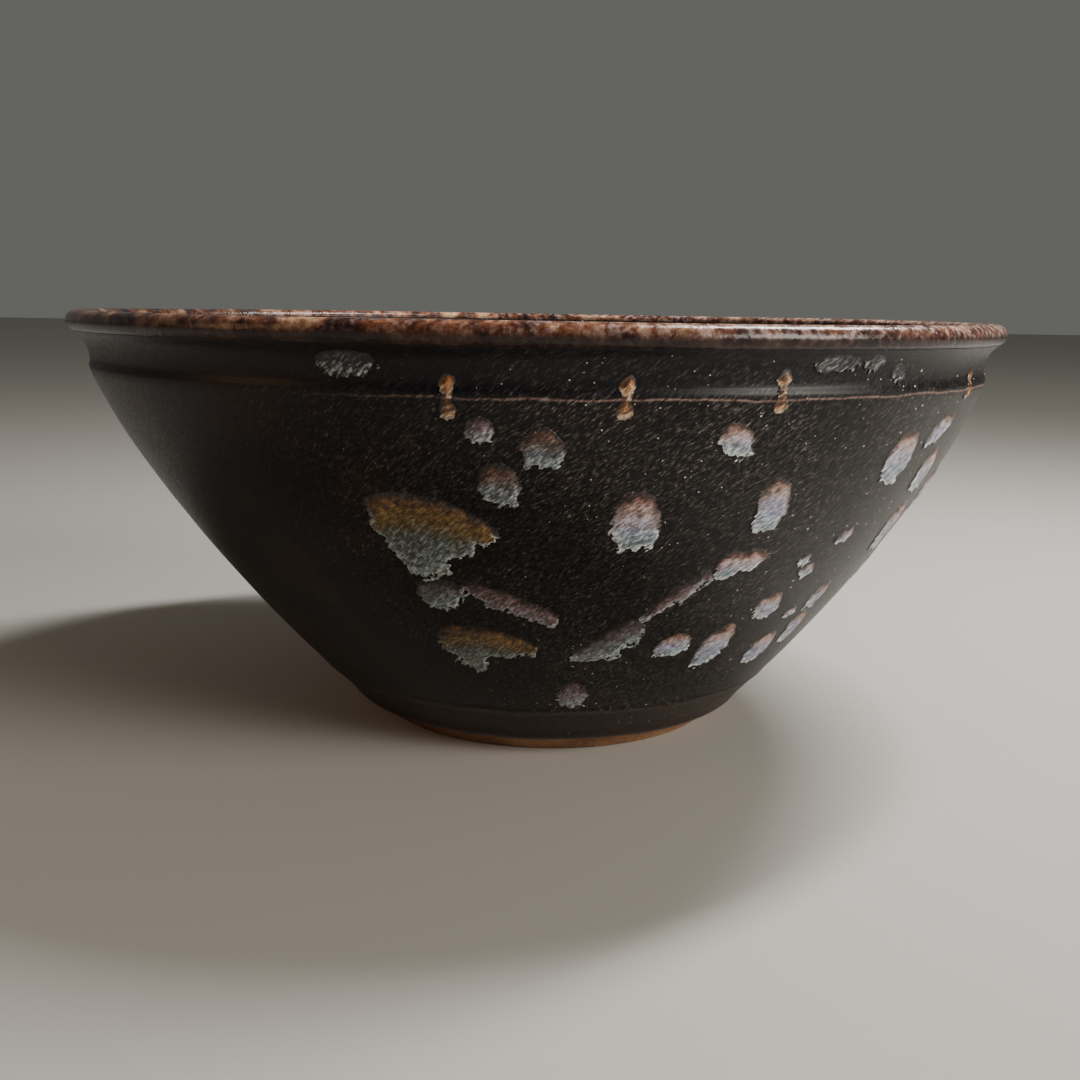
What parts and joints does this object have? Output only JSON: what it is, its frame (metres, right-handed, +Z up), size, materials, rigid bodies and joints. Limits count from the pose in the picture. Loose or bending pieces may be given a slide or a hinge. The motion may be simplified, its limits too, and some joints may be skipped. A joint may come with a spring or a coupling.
{
  "type": "matcha bowl",
  "caption": "Wide open tea bowl on a small turned foot, with a rolled lip over a short neck and ridge, near-black glaze and pale ash splashes.",
  "frame": {"origin": "on the table under the middle of the mouth", "axes": "+Z up out of the mouth; the side with the broad fan-shaped splash faces -Y; +X to the right of it, the way the foot sits off centre"},
  "size_m": [0.15, 0.15, 0.0667],
  "materials": {
    "bare_stoneware": "unglazed fired stoneware, warm orange-brown, fine sandy grit, matt",
    "black_glaze": "glossy near-black iron glaze with a brown cast, fine slanting streaks and tiny pale specks",
    "rust_lip_glaze": "glossy iron glaze broken thin over the rolled lip to rust, plum and pale pink",
    "pale_ash_glaze": "satin ash glaze, rust at its head, lilac in the middle, blue-grey below, with a crystalline white edge",
    "amber_ash_glaze": "glossy thin ash glaze run, amber with a pale head"
  },
  "bodies": {
    "root": {"bloom_1": "pale_ash_glaze", "bloom_2": "pale_ash_glaze", "bloom_3": "pale_ash_glaze", "bloom_4": "pale_ash_glaze", "clay_body": "bare_stoneware", "fleck_1": "pale_ash_glaze", "fleck_2": "pale_ash_glaze", "fleck_3": "pale_ash_glaze", "fleck_4": "pale_ash_glaze", "inside_glaze": "black_glaze", "lip_glaze": "rust_lip_glaze", "outside_glaze": "black_glaze", "run_1": "amber_ash_glaze", "run_2": "amber_ash_glaze", "run_3": "amber_ash_glaze", "run_4": "amber_ash_glaze", "run_5": "amber_ash_glaze", "run_6": "amber_ash_glaze", "run_7": "amber_ash_glaze", "splash_back_1": "pale_ash_glaze", "splash_back_10": "pale_ash_glaze", "splash_back_2": "pale_ash_glaze", "splash_back_3": "pale_ash_glaze", "splash_back_4": "pale_ash_glaze", "splash_back_5": "pale_ash_glaze", "splash_back_6": "pale_ash_glaze", "splash_back_7": "pale_ash_glaze", "splash_back_8": "pale_ash_glaze", "splash_back_9": "pale_ash_glaze", "splash_bar": "pale_ash_glaze", "splash_fan": "pale_ash_glaze", "splash_fan_lobe": "pale_ash_glaze", "splash_fan_tail": "pale_ash_glaze", "splash_front": "pale_ash_glaze", "splash_front_low": "pale_ash_glaze", "splash_front_small": "pale_ash_glaze", "splash_left_high": "pale_ash_glaze", "splash_left_middle": "pale_ash_glaze", "splash_left_top": "pale_ash_glaze", "splash_pair": "pale_ash_glaze", "splash_right_1": "pale_ash_glaze", "splash_right_10": "pale_ash_glaze", "splash_right_11": "pale_ash_glaze", "splash_right_2": "pale_ash_glaze", "splash_right_3": "pale_ash_glaze", "splash_right_4": "pale_ash_glaze", "splash_right_5": "pale_ash_glaze", "splash_right_6": "pale_ash_glaze", "splash_right_7": "pale_ash_glaze", "splash_right_8": "pale_ash_glaze", "splash_right_9": "pale_ash_glaze", "splash_streak_high": "pale_ash_glaze", "splash_streak_low": "pale_ash_glaze"}
  },
  "joints": []
}
